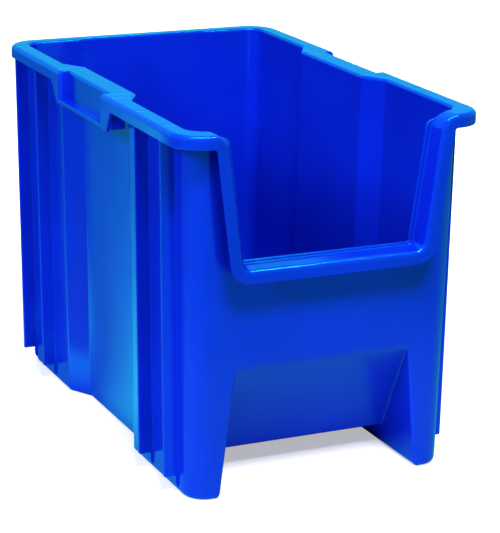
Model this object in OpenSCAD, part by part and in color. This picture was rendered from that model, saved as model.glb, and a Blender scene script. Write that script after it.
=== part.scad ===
// Stackable open-front storage bin, moulded in one piece of blue polypropylene.
// Millimetres, +Z up, origin at the centre of the underside, hopper front towards -Y.
// The moulding is divided into named sections at its own feature lines.
// Each section is drawn once, for the right-hand side, and mirrored for the left.

/* [Overall size] */
// Overall width across the rim
width = 276.2; // [270:0.1:284]
// Overall depth, front to rear, across the rim
depth = 444.5; // [438:0.1:452]
// Overall height
height = 317.5; // [312:0.1:324]

/* [Walls] */
// Thickness of walls, floor and flanges
wall = 3; // [2.4:0.1:3.6]
// Outer half width of the body just under the rim
body_half_width = 124; // [123:0.1:125]
// How far each side wall leans in from top to bottom
side_draft = 4.5; // [3:0.1:6]
// Outer face of the rear wall at the top, from the centre
rear_face = 208.5; // [206:0.1:210]
// How far the rear wall leans in from top to bottom
rear_draft = 5; // [3:0.1:6]
// Outer face of the front wall at the top, from the centre
front_face = 206; // [204:0.1:208]
// How far the front wall leans in from top to bottom
front_draft = 5; // [3:0.1:6]
// Outer radius of the front wall corners
front_corner_radius = 20; // [16:1:22]
// Outer radius of the rear wall corners
rear_corner_radius = 15; // [12:1:18]

/* [Side recess] */
// Depth of the recess in each side wall
recess_depth = 13; // [11:0.5:14]
// Rear end of the recess, at the wall face
recess_rear = 97; // [94:1:98]
// Front end of the recess, at the wall face
recess_front = -71; // [-73:1:-69]
// Length of each sloped end of the recess
recess_slope = 23; // [21:1:25]

/* [Rim] */
// Depth of the rim skirt
skirt_depth = 11.5; // [10:0.5:13]
// Outer corner radius of the rim
rim_radius = 28; // [26:1:30]

/* [Hopper opening] */
// Radius over which the rim turns down into the opening
shoulder_radius = 14.5; // [13:0.5:22]
// Lean of the sides of the opening, in degrees
opening_lean = 7.5; // [6:0.5:9]
// Height of the lip
lip_height = 203.5; // [195:0.5:212]
// Radius of the lower corners of the opening
opening_corner_radius = 7.5; // [6:0.5:10]
// How far the wall stands up past the flange as a bead
bead = 3; // [2:0.5:4]

/* [Base] */
// Height of the top of the front notch
notch_height = 113.5; // [105:0.5:120]
// Half width of the notch at the bottom
notch_half_width = 92.5; // [90:0.5:94]
// How far each side of the notch leans in for a millimetre of height
notch_lean = 0.11; // [0.09:0.01:0.12]
// Underside of the raised floor
floor_height = 18; // [16:0.5:20]
// Front edge of the raised floor, where the ramp starts
ramp_foot = -140; // [-146:1:-134]

/* [Handles] */
// Front end of the handle pocket
pocket_front = -41; // [-44:1:-38]
// Rear end of the handle pocket
pocket_rear = 63; // [60:1:66]
// Depth of the handle pocket
pocket_depth = 8.6; // [8:0.1:9]
// Height of the top of the pocket ledge
ledge_height = 291.5; // [290:0.5:293]

/* [Stacking ribs] */
// Places of the stacking ribs along each side
rib_places = [-172, -115, 136, 193];
// Thickness of a stacking rib
rib_thickness = 2.8; // [2.4:0.1:3.2]
// Reach of a rib from the centre plane at the top
rib_reach_top = 136.3; // [135.5:0.1:137]
// Reach of a rib from the centre plane at the bottom
rib_reach_bottom = 132.3; // [131:0.1:133]
// Height of the resting faces of the ribs
rib_foot = 15.5; // [14:0.5:17]
// How far the locating lugs stand proud of the wall
lug_reach = 2; // [1.5:0.1:2.5]

/* [Hidden] */
half_width = width / 2;
half_depth = depth / 2;
plate_under = height - wall;
skirt_under = height - skirt_depth;
corner_x = half_width - rim_radius;
corner_y = half_depth - rim_radius;
shoulder_z = height - shoulder_radius;
post_edge = 74;
ledge_under = ledge_height - 3.5;
frame_under = ledge_under - 0.5;
panel_thickness = 2.5;
panel_face = half_width - pocket_depth;
end_wall = 3;
lug_bottom = 5;
lug_chamfer = 3;
rib_neck = 303;
gusset_front = -60;
gusset_rear = 77;
gusset_under = ledge_under + 2;
frame_front_top = -67;
frame_front_tip = -55;
frame_rear_tip = 71;
frame_rear_top = 89;
bead_end_x = 93.5;
bead_chamfer = 5;
flange_depth = 24;
// How far a solid reaches into one that it is then trimmed by
root_depth = 5;
// Any size larger than the whole bin
far = 400;
arc_steps = 8;
arc_facets = 96;

// Faces of the drafted body at a height z
function lean(z) = (height - z) / height;
function side_x(z) = body_half_width - side_draft * lean(z);
function rear_y(z) = rear_face - rear_draft * lean(z);
function front_y(z) = front_draft * lean(z) - front_face;
function notch_x(z) = notch_half_width - notch_lean * z;

// An arc of points from angle a0 to a1
function arc(cx, cy, r, a0, a1) =
    [for (i = [0 : arc_steps]) let (a = a0 + (a1 - a0) * i / arc_steps) [cx + r * cos(a), cy + r * sin(a)]];

// Shift that keeps the sloped recess ends one wall thick
slope_shift = wall * tan(atan2(recess_depth, recess_slope) / 2);

// The ramp from the top of the notch down to the raised floor
floor_top = floor_height + wall;
ramp_run = notch_height - floor_height;
ramp_rise = ramp_foot - front_y(notch_height);
ramp_shift = wall * norm([ramp_run, ramp_rise]) / ramp_run;
ramp_top = ramp_foot + ramp_shift - wall * ramp_rise / ramp_run;

// Parts of the right-hand wall line at height z, set in by t from the outer face
function front_arc(z, t) =
    arc(side_x(z) - front_corner_radius, front_y(z) + front_corner_radius, front_corner_radius - t, -90, 0);
function rear_arc(z, t) =
    arc(side_x(z) - rear_corner_radius, rear_y(z) - rear_corner_radius, rear_corner_radius - t, 0, 90);
function front_slope(z, t) =
    let (s = slope_shift * t / wall)
    [[side_x(z) - t, recess_front - s], [side_x(z) - recess_depth - t, recess_front + recess_slope - s]];
function rear_slope(z, t) =
    let (s = slope_shift * t / wall)
    [[side_x(z) - recess_depth - t, recess_rear - recess_slope + s], [side_x(z) - t, recess_rear + s]];
function wall_line(z, t) = concat(front_arc(z, t), front_slope(z, t), rear_slope(z, t), rear_arc(z, t));
function backwards(list) = [for (i = [len(list) - 1 : -1 : 0]) list[i]];
function at_height(list, z) = [for (p = list) [p[0], p[1], z]];
function last(list) = list[len(list) - 1];

// Two triangles for each side of a prism whose n-point ends are numbered one after the other
function prism_sides(n) =
    [for (i = [0 : n - 1]) let (j = (i + 1) % n) for (f = [[i, n + i, n + j], [i, n + j, j]]) f];

// A solid between a convex plan outline at z0 and the matching outline at z1
module loft(low, high, z0, z1) {
    n = len(low);
    polyhedron(
        points = concat(at_height(low, z0), at_height(high, z1)),
        faces = concat([[for (i = [0 : n - 1]) i]], prism_sides(n), [[for (i = [n - 1 : -1 : 0]) n + i]]));
}

// A wall from z0 to z1 between matching outer and inner runs; its ends are one four-sided face a step
module wall_loft(low_outer, low_inner, high_outer, high_inner, z0, z1) {
    n = 2 * len(low_outer);
    steps = [for (i = [0 : len(low_outer) - 2]) [i, i + 1, n - 2 - i, n - 1 - i]];
    polyhedron(
        points = concat(
            at_height(low_outer, z0), at_height(backwards(low_inner), z0),
            at_height(high_outer, z1), at_height(backwards(high_inner), z1)),
        faces = concat(steps, prism_sides(n), [for (f = steps) [for (k = backwards(f)) n + k]]));
}

// A slab of the front wall over an outline of [x, z] points, counter-clockwise seen from the front
module front_slab(outline) {
    n = len(outline);
    face = [for (p = outline) [p[0], front_y(p[1]), p[1]]];
    back = [for (p = outline) [p[0], front_y(p[1]) + wall, p[1]]];
    polyhedron(
        points = concat(face, back),
        faces = concat([[for (i = [n - 1 : -1 : 0]) i]],
            [for (f = prism_sides(n)) backwards(f)],
            [[for (i = [0 : n - 1]) n + i]]));
}

function centre_line(z, t) = [for (p = wall_line(z, t)) [0, p[1]]];

// Everything inside the outer face (t = 0) or the inner face (t = wall) of the right half
module half_body(t) {
    over = height + 1;
    wall_loft(wall_line(0, t), centre_line(0, t), wall_line(over, t), centre_line(over, t), 0, over);
}

module moulded() {
    color([0.01, 0.16, 0.72])
        children();
}

module left() {
    mirror([1, 0, 0])
        children();
}

// ---- Floor, ramp and runners ----

module floor_panel() {
    x0 = notch_x(floor_height);
    x1 = notch_x(floor_top);
    y0 = ramp_foot + ramp_shift;
    back0 = rear_y(floor_height) - wall;
    back1 = rear_y(floor_top) - wall;
    moulded()
        loft([[-x0, y0], [x0, y0], [x0, back0], [-x0, back0]],
            [[-x1, ramp_top], [x1, ramp_top], [x1, back1], [-x1, back1]],
            floor_height, floor_top);
}

module hopper_ramp() {
    x0 = notch_x(floor_height);
    x1 = notch_x(notch_height);
    y0 = ramp_foot;
    y1 = front_y(notch_height);
    moulded()
        loft([[-x0, y0], [x0, y0], [x0, y0 + ramp_shift], [-x0, y0 + ramp_shift]],
            [[-x1, y1], [x1, y1], [x1, y1 + ramp_shift], [-x1, y1 + ramp_shift]],
            floor_height, notch_height);
}

// The strip of base between the cheek and the foot of the wall
function cheek_line(z) = [for (p = wall_line(z, wall)) [notch_x(z) + wall, p[1]]];

module runner() {
    moulded()
        wall_loft(wall_line(0, wall), cheek_line(0), wall_line(wall, wall), cheek_line(wall), 0, wall);
}

module runner_cheek() {
    outline = [
        [front_y(0) + wall, 0],
        [rear_y(0) - wall, 0],
        [rear_y(floor_top) - wall, floor_top],
        [ramp_top, floor_top],
        [front_y(notch_height) + ramp_shift, notch_height],
        [front_y(notch_height) + wall, notch_height]];
    // The two convex halves of the outline, under the floor and behind the ramp
    halves = [[0, 1, 2, 3], [0, 3, 4, 5]];
    n = len(outline);
    near = [for (p = outline) [notch_x(p[1]), p[0], p[1]]];
    away = [for (p = outline) [notch_x(p[1]) + wall, p[0], p[1]]];
    moulded()
        polyhedron(
            points = concat(near, away),
            faces = concat(halves, prism_sides(n), [for (f = halves) [for (k = backwards(f)) n + k]]));
}

// ---- Front ----

module front_wall() {
    moulded()
        front_slab([
            [-post_edge, notch_height],
            [post_edge, notch_height],
            [post_edge, lip_height + bead],
            [-post_edge, lip_height + bead]]);
}

// X of the flange surface beside the opening at height z
function opening_x(z) =
    corner_x - shoulder_radius / cos(opening_lean) + (z - shoulder_z) * tan(opening_lean);

module front_post() {
    bead_shift = bead / cos(opening_lean);
    bead_high = skirt_under - bead_chamfer;
    bead_low = lip_height + bead + bead_chamfer;
    top = plate_under;
    moulded()
        difference() {
            front_slab([
                [post_edge, notch_height],
                [side_x(notch_height) - front_corner_radius, notch_height],
                [side_x(top) - front_corner_radius, top],
                [bead_end_x, top],
                [bead_end_x, skirt_under],
                [bead_end_x - bead, skirt_under - bead / 5],
                [opening_x(bead_high) - bead_shift, bead_high],
                [opening_x(bead_low) - bead_shift, bead_low],
                [opening_x(bead_low) - bead_shift - bead_chamfer, lip_height + bead],
                [post_edge, lip_height + bead]]);
            shoulder_clearance();
        }
}

module front_corner() {
    moulded()
        difference() {
            wall_loft(front_arc(0, 0), front_arc(0, wall),
                front_arc(plate_under, 0), front_arc(plate_under, wall),
                0, plate_under);
            shoulder_clearance();
        }
}

// The space that the flange takes as it turns down at the shoulder
module shoulder_clearance() {
    difference() {
        translate([bead_end_x, -half_depth, shoulder_z])
            cube([corner_x - bead_end_x, 2 * flange_depth, shoulder_radius + 1]);
        translate([corner_x, -half_depth - 1, shoulder_z])
            rotate([-90, 0, 0])
                cylinder(h = 3 * flange_depth, r = shoulder_radius - wall, $fn = arc_facets);
    }
}

module front_foot() {
    moulded()
        front_slab([
            [notch_x(0), 0],
            [side_x(0) - front_corner_radius, 0],
            [side_x(notch_height) - front_corner_radius, notch_height],
            [notch_x(notch_height), notch_height]]);
}

// ---- Side and rear walls ----

// A full-height run of the wall; run(z, t) gives its plan at height z, set in by t
module side_run(run) {
    moulded()
        wall_loft(run(0, 0), run(0, wall), run(plate_under, 0), run(plate_under, wall), 0, plate_under);
}

module front_panel() { side_run(function (z, t) [last(front_arc(z, t)), front_slope(z, t)[0]]); }
module recess_front_slope() { side_run(function (z, t) front_slope(z, t)); }
module recess_panel() { side_run(function (z, t) [front_slope(z, t)[1], rear_slope(z, t)[0]]); }
module recess_rear_slope() { side_run(function (z, t) rear_slope(z, t)); }
module rear_panel() { side_run(function (z, t) [rear_slope(z, t)[1], rear_arc(z, t)[0]]); }
module rear_corner() { side_run(function (z, t) rear_arc(z, t)); }

module rear_wall() {
    x0 = side_x(0) - rear_corner_radius;
    x1 = side_x(plate_under) - rear_corner_radius;
    y0 = rear_y(0);
    y1 = rear_y(plate_under);
    moulded()
        loft([[-x0, y0 - wall], [x0, y0 - wall], [x0, y0], [-x0, y0]],
            [[-x1, y1 - wall], [x1, y1 - wall], [x1, y1], [-x1, y1]],
            0, plate_under);
}

// ---- Rim ----

module side_rim() {
    inner_edge = body_half_width - recess_depth - wall - root_depth;
    pocket_length = pocket_rear - pocket_front;
    moulded()
        difference() {
            union() {
                translate([inner_edge, -corner_y, plate_under])
                    cube([half_width - inner_edge, 2 * corner_y, wall]);
                translate([half_width - wall, -corner_y, skirt_under])
                    cube([wall, 2 * corner_y, skirt_depth]);
            }
            half_body(wall);
            translate([panel_face, pocket_front, skirt_under - 1])
                cube([pocket_depth + 1, pocket_length, skirt_depth + 2]);
        }
}

module rim_corner_sweep() {
    rotate_extrude(angle = 90, $fn = arc_facets)
        polygon([
            [0, plate_under],
            [rim_radius - wall, plate_under],
            [rim_radius - wall, skirt_under],
            [rim_radius, skirt_under],
            [rim_radius, height],
            [0, height]]);
}

module rear_rim_corner() {
    moulded()
        difference() {
            translate([corner_x, corner_y, 0])
                rim_corner_sweep();
            half_body(wall);
        }
}

module front_rim_corner() {
    moulded()
        difference() {
            translate([corner_x, -corner_y, 0])
                rotate([0, 0, -90])
                    rim_corner_sweep();
            half_body(wall);
        }
}

module rear_rim() {
    inner = rear_y(height) - wall;
    moulded()
        union() {
            translate([-corner_x, inner, plate_under])
                cube([2 * corner_x, half_depth - inner, wall]);
            translate([-corner_x, half_depth - wall, skirt_under])
                cube([2 * corner_x, wall, skirt_depth - wall]);
        }
}

// ---- Flange round the hopper opening ----

// Centre of a lower corner of the opening
lower_z = lip_height + opening_corner_radius;
lower_x = opening_x(lower_z) - opening_corner_radius / cos(opening_lean);
// Length of the straight side of the opening between its two bends
straight_length =
    (shoulder_z - lower_z) * cos(opening_lean) + (corner_x - lower_x) * sin(opening_lean);

// The bend from the rim down into the opening
module turn_down() {
    translate([corner_x, -half_depth, shoulder_z])
        rotate([-90, 0, 0])
            rotate([0, 0, 180 + opening_lean])
                rotate_extrude(angle = 90 - opening_lean, $fn = arc_facets)
                    polygon([
                        [shoulder_radius - skirt_depth, 0],
                        [shoulder_radius, 0],
                        [shoulder_radius, flange_depth],
                        [shoulder_radius - wall, flange_depth],
                        [shoulder_radius - wall, wall],
                        [shoulder_radius - skirt_depth, wall]]);
}

module slanted_run() {
    translate([lower_x, -half_depth, lower_z])
        rotate([0, opening_lean, 0])
            translate([opening_corner_radius, 0, 0])
                union() {
                    cube([wall, flange_depth, straight_length]);
                    cube([skirt_depth, wall, straight_length]);
                }
}

module lower_corner() {
    r = opening_corner_radius;
    translate([lower_x, -half_depth, lower_z])
        rotate([-90, 0, 0])
            rotate([0, 0, opening_lean])
                rotate_extrude(angle = 90 - opening_lean, $fn = arc_facets)
                    polygon([
                        [r, 0],
                        [r + skirt_depth, 0],
                        [r + skirt_depth, wall],
                        [r + wall, wall],
                        [r + wall, flange_depth],
                        [r, flange_depth]]);
}

// Everything behind the front wall, out to y = far, from a start t behind its outer face
module behind_front(t, x0, x1) {
    low = front_y(0) + t;
    high = front_y(height + 1) + t;
    loft([[x0, low], [x1, low], [x1, far], [x0, far]],
        [[x0, high], [x1, high], [x1, far], [x0, far]],
        0, height + 1);
}

module hopper_flange() {
    moulded()
        difference() {
            union() {
                turn_down();
                slanted_run();
                lower_corner();
            }
            behind_front(wall, 0, far);
            behind_front(0, 0, bead_end_x);
        }
}

module front_lip() {
    moulded()
        difference() {
            union() {
                translate([-lower_x, -half_depth, lip_height - wall])
                    cube([2 * lower_x, flange_depth, wall]);
                translate([-lower_x, -half_depth, lip_height - skirt_depth])
                    cube([2 * lower_x, wall, skirt_depth]);
            }
            behind_front(0, -far, far);
        }
}

// ---- Handles ----

module handle() {
    inner_face = half_width - wall;
    pocket_length = pocket_rear - pocket_front;
    gusset_root = body_half_width - recess_depth - root_depth;
    moulded()
        union() {
            translate([inner_face, 0, 0])
                rotate([90, 0, 90])
                    linear_extrude(wall)
                        polygon([
                            [frame_front_top, skirt_under],
                            [frame_front_tip, frame_under],
                            [frame_rear_tip, frame_under],
                            [frame_rear_top, skirt_under],
                            [pocket_rear, skirt_under],
                            [pocket_rear, ledge_height],
                            [pocket_front, ledge_height],
                            [pocket_front, skirt_under]]);
            translate([panel_face, pocket_front, ledge_under])
                cube([inner_face - panel_face, pocket_length, ledge_height - ledge_under]);
            translate([panel_face - panel_thickness, pocket_front - end_wall, ledge_under])
                cube([panel_thickness, pocket_length + 2 * end_wall, plate_under - ledge_under]);
            for (y = [pocket_front - end_wall, pocket_rear])
                translate([panel_face, y, ledge_under])
                    cube([inner_face - panel_face, end_wall, plate_under - ledge_under]);
            for (y = [gusset_front, gusset_rear])
                difference() {
                    translate([gusset_root, y, gusset_under])
                        cube([inner_face - gusset_root, wall, plate_under - gusset_under]);
                    half_body(0);
                }
        }
}

// ---- Stacking ribs and lugs ----

module stacking_rib(y) {
    root = body_half_width - side_draft - rear_corner_radius;
    inner_face = half_width - wall;
    moulded()
        difference() {
            translate([0, y + rib_thickness / 2, 0])
                rotate([90, 0, 0])
                    linear_extrude(rib_thickness)
                        polygon([
                            [root, rib_foot],
                            [rib_reach_bottom, rib_foot],
                            [rib_reach_top, rib_neck],
                            [rib_reach_top, skirt_under],
                            [inner_face, skirt_under],
                            [inner_face, plate_under],
                            [root, plate_under]]);
            half_body(0);
        }
}

module base_lugs() {
    root = body_half_width - side_draft - rear_corner_radius;
    moulded()
        difference() {
            for (y = rib_places)
                translate([0, y + rib_thickness / 2, 0])
                    rotate([90, 0, 0])
                        linear_extrude(rib_thickness)
                            polygon([
                                [root, lug_bottom],
                                [side_x(lug_bottom) + lug_reach / 2, lug_bottom],
                                [side_x(rib_foot) + lug_reach, lug_bottom + lug_chamfer],
                                [side_x(rib_foot) + lug_reach, rib_foot],
                                [root, rib_foot]]);
            half_body(0);
        }
}

// ---- Named sections ----

module right_runner() { runner(); }
module left_runner() { left() runner(); }
module right_runner_cheek() { runner_cheek(); }
module left_runner_cheek() { left() runner_cheek(); }
module right_front_foot() { front_foot(); }
module left_front_foot() { left() front_foot(); }
module right_front_post() { front_post(); }
module left_front_post() { left() front_post(); }
module right_front_corner() { front_corner(); }
module left_front_corner() { left() front_corner(); }
module right_front_panel() { front_panel(); }
module left_front_panel() { left() front_panel(); }
module right_recess_front_slope() { recess_front_slope(); }
module left_recess_front_slope() { left() recess_front_slope(); }
module right_recess_panel() { recess_panel(); }
module left_recess_panel() { left() recess_panel(); }
module right_recess_rear_slope() { recess_rear_slope(); }
module left_recess_rear_slope() { left() recess_rear_slope(); }
module right_rear_panel() { rear_panel(); }
module left_rear_panel() { left() rear_panel(); }
module right_rear_corner() { rear_corner(); }
module left_rear_corner() { left() rear_corner(); }
module right_rim() { side_rim(); }
module left_rim() { left() side_rim(); }
module right_rear_rim_corner() { rear_rim_corner(); }
module left_rear_rim_corner() { left() rear_rim_corner(); }
module right_front_rim_corner() { front_rim_corner(); }
module left_front_rim_corner() { left() front_rim_corner(); }
module right_hopper_flange() { hopper_flange(); }
module left_hopper_flange() { left() hopper_flange(); }
module right_handle() { handle(); }
module left_handle() { left() handle(); }
module right_base_lugs() { base_lugs(); }
module left_base_lugs() { left() base_lugs(); }
module right_rib_1() { stacking_rib(rib_places[0]); }
module right_rib_2() { stacking_rib(rib_places[1]); }
module right_rib_3() { stacking_rib(rib_places[2]); }
module right_rib_4() { stacking_rib(rib_places[3]); }
module left_rib_1() { left() stacking_rib(rib_places[0]); }
module left_rib_2() { left() stacking_rib(rib_places[1]); }
module left_rib_3() { left() stacking_rib(rib_places[2]); }
module left_rib_4() { left() stacking_rib(rib_places[3]); }

floor_panel();
hopper_ramp();
left_runner();
right_runner();
left_runner_cheek();
right_runner_cheek();
front_wall();
left_front_foot();
right_front_foot();
left_front_post();
right_front_post();
left_front_corner();
right_front_corner();
left_front_panel();
right_front_panel();
left_recess_front_slope();
right_recess_front_slope();
left_recess_panel();
right_recess_panel();
left_recess_rear_slope();
right_recess_rear_slope();
left_rear_panel();
right_rear_panel();
left_rear_corner();
right_rear_corner();
rear_wall();
left_rim();
right_rim();
rear_rim();
left_rear_rim_corner();
right_rear_rim_corner();
left_front_rim_corner();
right_front_rim_corner();
left_hopper_flange();
right_hopper_flange();
front_lip();
left_handle();
right_handle();
left_rib_1();
left_rib_2();
left_rib_3();
left_rib_4();
right_rib_1();
right_rib_2();
right_rib_3();
right_rib_4();
left_base_lugs();
right_base_lugs();
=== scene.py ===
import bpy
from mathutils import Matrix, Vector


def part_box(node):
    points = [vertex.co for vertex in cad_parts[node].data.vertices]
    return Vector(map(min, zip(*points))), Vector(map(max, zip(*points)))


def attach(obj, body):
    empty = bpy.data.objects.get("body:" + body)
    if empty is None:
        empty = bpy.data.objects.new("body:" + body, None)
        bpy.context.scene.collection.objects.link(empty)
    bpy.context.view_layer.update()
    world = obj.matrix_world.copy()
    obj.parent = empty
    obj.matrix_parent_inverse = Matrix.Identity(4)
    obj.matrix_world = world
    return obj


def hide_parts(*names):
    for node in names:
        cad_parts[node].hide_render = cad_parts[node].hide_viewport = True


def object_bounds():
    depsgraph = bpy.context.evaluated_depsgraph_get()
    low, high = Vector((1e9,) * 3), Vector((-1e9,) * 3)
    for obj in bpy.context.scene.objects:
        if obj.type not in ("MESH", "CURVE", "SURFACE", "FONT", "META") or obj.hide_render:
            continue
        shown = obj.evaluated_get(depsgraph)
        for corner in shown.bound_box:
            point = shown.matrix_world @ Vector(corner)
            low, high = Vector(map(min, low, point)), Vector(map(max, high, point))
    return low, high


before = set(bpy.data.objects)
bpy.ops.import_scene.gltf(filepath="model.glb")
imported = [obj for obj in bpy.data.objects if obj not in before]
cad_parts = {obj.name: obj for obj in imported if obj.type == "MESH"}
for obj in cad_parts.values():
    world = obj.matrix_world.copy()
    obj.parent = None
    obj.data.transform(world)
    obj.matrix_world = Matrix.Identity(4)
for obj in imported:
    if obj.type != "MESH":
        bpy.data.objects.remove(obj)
CAD_LOW, CAD_HIGH = [list(map(float, corner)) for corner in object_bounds()]

import math

import bmesh
import bpy
from mathutils import Matrix, Vector

# Lengths are in millimetres unless metres are named, in the frame shared with the CAD:
# X across, -Y to the hopper front, Z up.
MM = 0.001

# ---- Driving sizes, taken from the frame ----
HALF_W, HALF_D, HEIGHT = (edge / MM for edge in CAD_HIGH)
WALL = 3.0
# Gaps that keep two faces in one plane apart
FLUSH, SEAM = 0.03, 0.02
# How far a hidden edge reaches into the neighbouring solid
LAP = 0.5
# Steps of an arc: a large one, a small fillet, a thin plate's edge, the base edge, the recess and the ramp
ARC, SMALL_ARC, PLATE_ARC, BASE_ARC, RECESS_ARC, RAMP_ARC = 7, 4, 6, 5, 5, 8
LOW, HIGH = 0, 1
Y, Z = 1, 2


def cad(node, corner, axis):
    """One coordinate of a CAD node's box, in millimetres."""
    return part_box(node)[corner][axis] / MM


# Drafted faces of the body: outer face at the top, and how far it leans in by the bottom
SIDE_TOP, SIDE_DRAFT = 124.0, 4.5
REAR_TOP, REAR_DRAFT = 208.5, 5.0
FRONT_TOP, FRONT_DRAFT = 206.0, 5.0
FRONT_R, REAR_R = 20.0, 15.0
BASE_R = 4.5

# Recess in each side wall
RECESS, RECESS_SLOPE = 13.0, 23.0
RECESS_FRONT = cad("right_front_panel", HIGH, Y)
RECESS_REAR = cad("right_rear_panel", LOW, Y)
RECESS_OUT_R, RECESS_IN_R = 6.0, 4.0
# Shallow panel on the inside of the rear wall
PANEL_EDGE, PANEL_SLOPE, PANEL_STEP = 62.0, 10.0, 1.9

# Rim, and the flange round the hopper mouth
RIM_R = 28.0
SKIRT = HEIGHT - cad("rear_rim", LOW, Z)
CORNER_X, CORNER_Y = HALF_W - RIM_R, HALF_D - RIM_R
SHOULDER_R, MOUTH_R = 14.5, 7.5
LEAN = math.radians(7.5)
SHOULDER_Z = HEIGHT - SHOULDER_R
LIP_Z = cad("front_lip", HIGH, Z)
# The flange leans into the opening by RISE and ends in an upright bead: down the sides, then along the lip
BEAD, RISE = (4.4, 2.6), (2.8, 1.4)
# Share of the shoulder's bend at which each of them starts to grow
BEAD_STARTS, RISE_STARTS = 0.6, 0.3
# Steps of the bends at the shoulder and at the lip, and the stops between them as shares of the side
BEND_STEPS, LIP_STEPS, SIDE_STOPS = 14, 10, (0.06, 0.5)
# Radii of the flange: outer edge, wall side without and with a bead, tip and foot of the bead, fillets below
EDGE_R, ROOT_R, BEAD_R, UNDER_R = 4.2, (2.6, 1.2), (1.2, 0.9), 2.0
# Small break of an edge
BREAK = 0.4
# Height of the wall that is made with the flange
STUB = 12.0
WALL_TOP = HEIGHT - STUB

# Notch in the front, the ramp behind it and the raised floor
NOTCH_TOP = cad("hopper_ramp", HIGH, Z)
NOTCH_HALF, NOTCH_LEAN = 92.5, 0.11
FLOOR_Z = cad("floor_panel", LOW, Z)
# Y of the ramp's foot, and how far the floor runs on behind it with the ramp
RAMP_FOOT, RAMP_RUN_OUT = -140.0, 18.0
NOTCH_SOFT_R, RAMP_BEND_R = 16.0, 10.0
FOOT_EDGE_R, FOOT_INNER_R, CHEEK_TOP_R = 3.6, 2.2, 1.5
STRIP = 6.0
APRON_Z = NOTCH_TOP + 12.0

# Handle pocket, ribs and lugs
POCKET_FRONT, POCKET_REAR = -41.0, 63.0
PANEL_FACE = HALF_W - 8.6
LEDGE_TOP, LEDGE_LOW = 291.5, 287.5
POCKET_R = 4.0
# How deep the ledge, the back plate and the cheeks of the pocket are rooted behind its rear face
LEDGE_ROOT, PLATE_ROOT, CHEEK_ROOT = 2.0, 2.5, 2.4
# How far the back plate runs on past the pocket, and how far the ledge stays behind the gussets' faces
PLATE_REACH, LEDGE_BACK = 2.9, 0.06
# Gussets of the handle: y at the skirt, y at the tip, wall of the pocket, radius of the inner edge
GUSSETS = ((-67.0, -55.0, POCKET_FRONT, 1.2), (89.0, 71.0, POCKET_REAR, POCKET_R))
GUSSET_EDGE_R = 1.2
# The tip of a gusset: where its edge bends (above the tip, share of the run), and the small break below
TOE_UP, TOE_SHARE, TIP_BREAK = 1.0, 0.95, 0.3
# Small stiffeners inside the gussets: y of each, and how far above the ledge's underside they end
STIFFENERS, STIFFENER_FOOT = (-60.0, 77.0), 2.5
RIBS = [-172.0, -115.0, 136.0, 193.0]
RIB_HALF, RIB_ROOT_R, RIB_EDGE_R = 1.4, 0.5, 0.9
RIB_TOP, RIB_LOW, RIB_FOOT, RIB_NECK = 136.3, 132.3, 15.5, 303.0
# How deep the ribs and lugs are rooted in the wall
SUNK = 1.5
# The lugs, from below: (height, how far it stands out), and the radius of their edges
LUG, LUG_R = ((5.0, 0.6), (5.4, 1.1), (8.0, 2.0), (RIB_FOOT + 0.3, 2.0)), 0.5

# Where the moulding is divided, always across a flat stretch
CUT_FRONT, CUT_RECESS_FRONT, CUT_RECESS_REAR, CUT_REAR, CUT_REAR_X = -179.0, -81.0, 107.0, 182.0, 92.0
POST_X, RAMP_X = 58.0, 75.0


# ---- Faces of the drafted body ----
def lean_at(z):
    return (HEIGHT - z) / HEIGHT


def side_x(z):
    return SIDE_TOP - SIDE_DRAFT * lean_at(z)


def rear_y(z):
    return REAR_TOP - REAR_DRAFT * lean_at(z)


def front_y(z):
    return FRONT_DRAFT * lean_at(z) - FRONT_TOP


def notch_x(z):
    return NOTCH_HALF - NOTCH_LEAN * z


def front_face_y(x, z, t):
    """Y of the front wall at x and z, set in by t, round the corner arcs too."""
    start = side_x(z) - FRONT_R
    if x <= start:
        return front_y(z) + t
    across = min(x - start, FRONT_R - t)
    return front_y(z) + FRONT_R - math.sqrt((FRONT_R - t) ** 2 - across**2)


def wall_x(y, z):
    """X of the outer side face near a rib, round the rear corner arc too."""
    start = rear_y(z) - REAR_R
    if y <= start:
        return side_x(z)
    return side_x(z) - REAR_R + math.sqrt(REAR_R**2 - (y - start) ** 2)


def mix(a, b, t):
    return a + (b - a) * t


def soft_step(value, low, high):
    """0 below low, 1 above high, smooth between."""
    t = max(0.0, min(1.0, (value - low) / (high - low)))
    return t * t * (3 - 2 * t)


def turned(cx, cy, r, start, end, steps=ARC):
    """Points on an arc, with angles in degrees."""
    angles = [math.radians(mix(start, end, i / steps)) for i in range(steps + 1)]
    return [(cx + r * math.cos(a), cy + r * math.sin(a)) for a in angles]


def rounded(points, steps=ARC):
    """Points (x, y, r): the ends are kept, and each corner between becomes an arc of radius r."""
    out = [points[0][:2]]
    for a, p, b in zip(points, points[1:], points[2:]):
        corner, r = Vector(p[:2]), max(p[2], 0.0)
        to_a = (Vector(a[:2]) - corner).normalized()
        to_b = (Vector(b[:2]) - corner).normalized()
        half = to_a.angle(to_b) / 2
        centre = corner + (to_a + to_b).normalized() * (r / math.sin(half))
        first = corner + to_a * (r / math.tan(half)) - centre
        last = corner + to_b * (r / math.tan(half)) - centre
        start = math.atan2(first.y, first.x)
        turn = (math.atan2(last.y, last.x) - start + math.pi) % (2 * math.pi) - math.pi
        out += turned(centre.x, centre.y, r, math.degrees(start), math.degrees(start + turn), steps)
    return out + [points[-1][:2]]


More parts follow.
